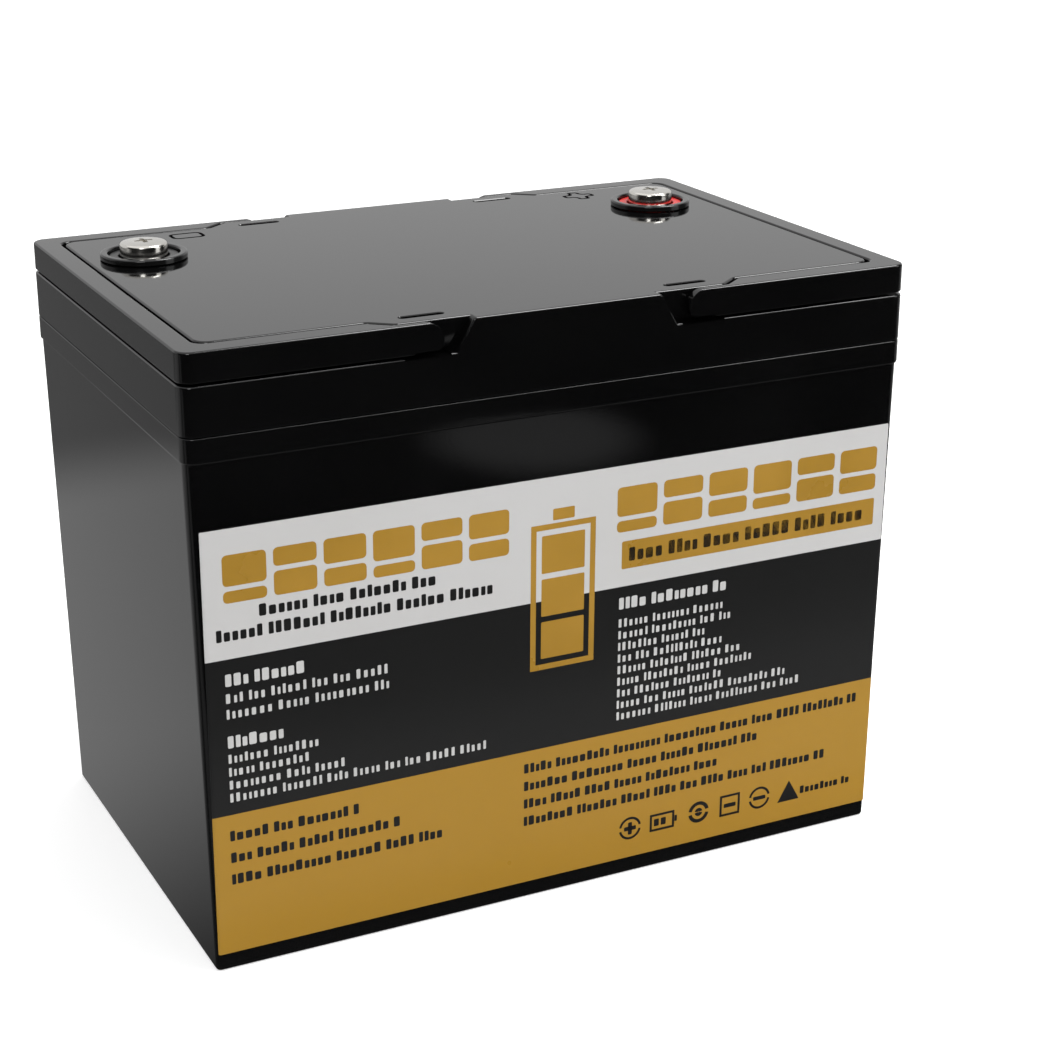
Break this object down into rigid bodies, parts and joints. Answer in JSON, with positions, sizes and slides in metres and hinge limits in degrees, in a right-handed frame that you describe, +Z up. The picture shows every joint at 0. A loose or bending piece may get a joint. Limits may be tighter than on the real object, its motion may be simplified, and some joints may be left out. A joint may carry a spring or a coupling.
{
  "type": "deep cycle battery",
  "caption": "Rectangular black deep cycle battery with flip-up carrying handles, screw terminals in raised collars and a wide front label.",
  "frame": {"origin": "middle of the base, on the surface the battery stands on", "axes": "+X along the length from the negative terminal to the positive one, -Y out of the labelled front, +Z up"},
  "size_m": [0.26, 0.168, 0.2172],
  "materials": {
    "case_plastic": "glossy moulded black ABS",
    "lid_plastic": "glossy moulded black ABS",
    "handle_plastic": "glossy moulded black plastic",
    "label_film": "printed satin film in white, black and gold",
    "collar_plastic": "glossy black plastic",
    "black_ring": "black plastic",
    "red_ring": "red plastic",
    "terminal_metal": "turned brass",
    "bolt_steel": "bright plated steel",
    "copper": "copper, lightly tarnished",
    "cell_wrap": "blue film over an aluminium can",
    "end_plate_metal": "satin anodised",
    "heat_sink_metal": "satin extruded",
    "band_steel": "rolled steel strip",
    "foam": "closed-cell foam, matt",
    "fibre_board": "woven glass and epoxy board",
    "circuit_board": "green solder mask",
    "tray_plastic": "natural nylon",
    "red_insulation": "silicone cable insulation",
    "black_insulation": "silicone cable insulation"
  },
  "bodies": {
    "battery": {"back_foam": "foam", "balance_plug": "tray_plastic", "battery_cable": "black_insulation", "battery_lug": "copper", "bms_tray": "tray_plastic", "bottom_pad": "foam", "busbar_1": "copper", "busbar_2": "copper", "busbar_3": "copper", "case": "case_plastic", "cell_1": "cell_wrap", "cell_2": "cell_wrap", "cell_3": "cell_wrap", "cell_4": "cell_wrap", "cell_spacer_1": "fibre_board", "cell_spacer_2": "fibre_board", "cell_spacer_3": "fibre_board", "front_foam": "foam", "front_label": "label_film", "heat_sink": "heat_sink_metal", "insulation_board": "fibre_board", "left_end_foam": "foam", "left_end_plate": "end_plate_metal", "lid": "lid_plastic", "lower_band": "band_steel", "negative_cable": "black_insulation", "negative_collar": "collar_plastic", "negative_lug": "copper", "negative_nut": "bolt_steel", "negative_polarity_ring": "black_ring", "negative_tab": "copper", "negative_tab_lug": "copper", "negative_terminal": "terminal_metal", "output_lug": "copper", "positive_cable": "red_insulation", "positive_collar": "collar_plastic", "positive_lug": "copper", "positive_nut": "bolt_steel", "positive_polarity_ring": "red_ring", "positive_tab": "copper", "positive_tab_lug": "copper", "positive_terminal": "terminal_metal", "protection_board": "circuit_board", "right_end_foam": "foam", "right_end_plate": "end_plate_metal", "sense_cable": "black_insulation", "upper_band": "band_steel", "wireless_board": "circuit_board"},
    "left_handle": {"left_handle": "handle_plastic"},
    "right_handle": {"right_handle": "handle_plastic"},
    "negative_washers": {"negative_spring_washer": "bolt_steel", "negative_flat_washer": "bolt_steel"},
    "negative_bolt": {"negative_bolt": "bolt_steel"},
    "positive_washers": {"positive_spring_washer": "bolt_steel", "positive_flat_washer": "bolt_steel"},
    "positive_bolt": {"positive_bolt": "bolt_steel"}
  },
  "joints": [
    {"name": "left_handle_hinge", "type": "hinge", "parent": "battery", "child": "left_handle", "pos_m": [-0.0495, 0, 0.2061], "axis": [0, 1, 0], "range_deg": [0, 115]},
    {"name": "right_handle_hinge", "type": "hinge", "parent": "battery", "child": "right_handle", "pos_m": [0.0495, 0, 0.2061], "axis": [0, -1, 0], "range_deg": [0, 115]},
    {"name": "negative_bolt_lift", "type": "slide", "parent": "battery", "child": "negative_washers", "axis": [0, 0, 1], "range_m": [0, 0.0125]},
    {"name": "negative_bolt_turn", "type": "hinge", "parent": "negative_washers", "child": "negative_bolt", "pos_m": [-0.1018, 0.0395, 0.212], "axis": [0, 0, 1], "range_deg": [0, 3600]},
    {"name": "positive_bolt_lift", "type": "slide", "parent": "battery", "child": "positive_washers", "axis": [0, 0, 1], "range_m": [0, 0.0125]},
    {"name": "positive_bolt_turn", "type": "hinge", "parent": "positive_washers", "child": "positive_bolt", "pos_m": [0.098, 0.0395, 0.212], "axis": [0, 0, 1], "range_deg": [0, 3600]}
  ],
  "couplings": [
    {"joint": "negative_bolt_turn", "follows": "negative_bolt_lift", "rad_per_m": 5026.5},
    {"joint": "positive_bolt_turn", "follows": "positive_bolt_lift", "rad_per_m": 5026.5}
  ]
}
